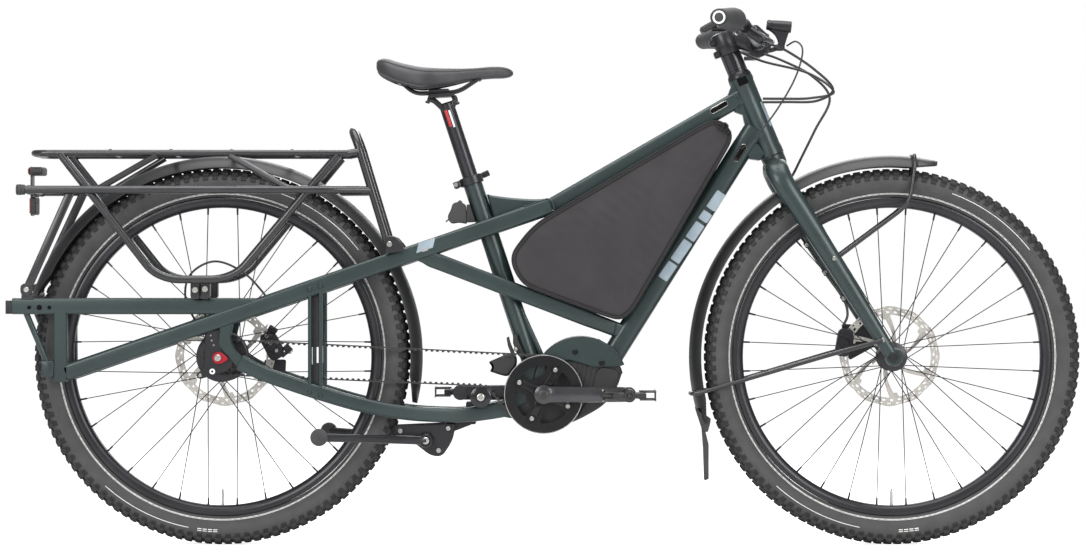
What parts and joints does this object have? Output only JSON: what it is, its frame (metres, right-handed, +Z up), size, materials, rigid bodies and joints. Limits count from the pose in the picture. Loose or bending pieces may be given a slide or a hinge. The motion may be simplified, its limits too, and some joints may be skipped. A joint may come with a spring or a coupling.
{
  "type": "electric bicycle",
  "caption": "Long-tail electric bicycle with a hub and belt drive, mid motor, frame bag, rear rack, fenders, hydraulic disc brakes and a folding two-leg stand.",
  "frame": {"origin": "middle of the bicycle on the floor between the tyres", "axes": "+X forward, +Y to the rider's left, +Z up, with the floor at z = 0"},
  "size_m": [2.135, 0.7602, 1.0556],
  "materials": {
    "frame_paint": "satin dark green-grey paint",
    "black_paint": "satin black powder coat",
    "black_aluminium": "black anodised",
    "steel": "bare",
    "tyre": "matte with a pale band",
    "soft_rubber": "matte",
    "black_plastic": "matte",
    "belt": "matte",
    "bag_fabric": "woven, dark grey",
    "saddle_cover": "matte",
    "red_lens": "gloss"
  },
  "bodies": {
    "frame": {"head_tube": "frame_paint", "top_tube": "frame_paint", "down_tube": "frame_paint", "seat_tube": "frame_paint", "main_rails": "frame_paint", "lower_braces": "frame_paint", "tail_frame": "frame_paint", "chainstay_left": "frame_paint", "chainstay_right": "frame_paint", "frame_bag": "bag_fabric", "battery_pack": "black_plastic", "motor_cradle": "frame_paint", "motor": "black_plastic", "belt": "belt", "belt_guide": "black_plastic", "rear_caliper": "black_aluminium", "rear_fender": "black_plastic", "seat_clamp": "black_aluminium", "rack_deck": "black_paint", "rack_side_left": "black_paint", "rack_side_right": "black_paint", "tail_light": "red_lens", "kickstand_bracket": "black_aluminium", "hub_cable": "soft_rubber"},
    "rear_wheel": {"rear_tyre": "tyre", "rear_rim": "black_aluminium", "rear_hub": "black_aluminium"},
    "sprocket": {"rear_sprocket": "steel"},
    "crank": {"belt_ring": "black_aluminium", "crank_right": "black_aluminium", "crank_left": "black_aluminium"},
    "pedal_right": {"pedal_right": "black_plastic"},
    "pedal_left": {"pedal_left": "black_plastic"},
    "idler": {"idler": "black_plastic"},
    "steering": {"fork": "frame_paint", "stem": "black_aluminium", "handlebar": "black_aluminium", "grip_left": "soft_rubber", "grip_right": "soft_rubber", "lever_mount_left": "black_aluminium", "lever_mount_right": "black_aluminium", "front_caliper": "black_aluminium", "front_fender": "black_plastic", "front_hose": "soft_rubber", "rear_hose": "soft_rubber", "control_cable": "soft_rubber", "light_cable": "soft_rubber"},
    "front_wheel": {"front_tyre": "tyre", "front_rim": "black_aluminium", "front_hub": "black_aluminium"},
    "brake_lever_left": {"brake_lever_left": "black_aluminium"},
    "brake_lever_right": {"brake_lever_right": "black_aluminium"},
    "headlight": {"headlight": "black_plastic"},
    "remote_button": {"remote_button": "black_plastic"},
    "seatpost": {"seatpost": "black_aluminium", "saddle_rails": "steel", "saddle": "saddle_cover"},
    "seat_clamp_lever": {"seat_clamp_lever": "black_aluminium"},
    "charge_port_cover": {"charge_port_cover": "soft_rubber"},
    "kickstand": {"kickstand": "black_aluminium"}
  },
  "joints": [
    {"name": "steering_turn", "type": "hinge", "parent": "frame", "child": "steering", "pos_m": [0.39, 0, 0.932], "axis": [0.3811, 0, -0.9245], "range_deg": [-45, 45], "deforming": ["rear_hose", "control_cable", "light_cable"]},
    {"name": "front_wheel_spin", "type": "hinge", "parent": "steering", "child": "front_wheel", "pos_m": [0.6925, 0, 0.375], "axis": [0, 1, 0], "continuous": true},
    {"name": "rear_wheel_spin", "type": "hinge", "parent": "frame", "child": "rear_wheel", "pos_m": [-0.6445, 0, 0.375], "axis": [0, 1, 0], "continuous": true},
    {"name": "crank_spin", "type": "hinge", "parent": "frame", "child": "crank", "pos_m": [-0.003, 0, 0.301], "axis": [0, 1, 0], "continuous": true},
    {"name": "sprocket_spin", "type": "hinge", "parent": "frame", "child": "sprocket", "pos_m": [-0.6445, -0.052, 0.375], "axis": [0, 1, 0], "continuous": true},
    {"name": "idler_spin", "type": "hinge", "parent": "frame", "child": "idler", "pos_m": [-0.128, -0.052, 0.295], "axis": [0, 1, 0], "continuous": true},
    {"name": "pedal_right_spin", "type": "hinge", "parent": "crank", "child": "pedal_right", "pos_m": [0.165, -0.137, 0.301], "axis": [0, 1, 0], "continuous": true},
    {"name": "pedal_left_spin", "type": "hinge", "parent": "crank", "child": "pedal_left", "pos_m": [-0.171, 0.137, 0.301], "axis": [0, 1, 0], "continuous": true},
    {"name": "kickstand_swing", "type": "hinge", "parent": "frame", "child": "kickstand", "pos_m": [-0.237, 0, 0.209], "axis": [0, 1, 0], "range_deg": [-97, 0]},
    {"name": "brake_lever_left_pull", "type": "hinge", "parent": "steering", "child": "brake_lever_left", "pos_m": [0.4285, 0.202, 0.994], "axis": [0.3, 0, 0.9539], "range_deg": [0, 20], "stiffness_Nm_per_rad": 1},
    {"name": "brake_lever_right_pull", "type": "hinge", "parent": "steering", "child": "brake_lever_right", "pos_m": [0.4285, -0.202, 0.994], "axis": [0.3, 0, 0.9539], "range_deg": [-20, 0], "stiffness_Nm_per_rad": 1},
    {"name": "headlight_tilt", "type": "hinge", "parent": "steering", "child": "headlight", "pos_m": [0.472, 0, 0.993], "axis": [0, 1, 0], "range_deg": [-5, 12]},
    {"name": "remote_press", "type": "slide", "parent": "steering", "child": "remote_button", "axis": [0.5, 0, -0.866], "range_m": [0, 0.001], "stiffness_N_per_m": 200},
    {"name": "seatpost_slide", "type": "slide", "parent": "frame", "child": "seatpost", "axis": [-0.3129, 0, 0.9498], "range_m": [-0.11, 0.03]},
    {"name": "seat_clamp_swing", "type": "hinge", "parent": "frame", "child": "seat_clamp_lever", "pos_m": [-0.17444, 0.0145, 0.70975], "axis": [-0.3129, 0, 0.9498], "range_deg": [0, 90]},
    {"name": "charge_port_open", "type": "hinge", "parent": "frame", "child": "charge_port_cover", "pos_m": [-0.17, 0, 0.683], "axis": [0, 1, 0], "range_deg": [0, 65]}
  ],
  "couplings": [
    {"joint": "sprocket_spin", "follows": "crank_spin", "ratio": 2.2},
    {"joint": "idler_spin", "follows": "crank_spin", "ratio": -3.4085}
  ]
}
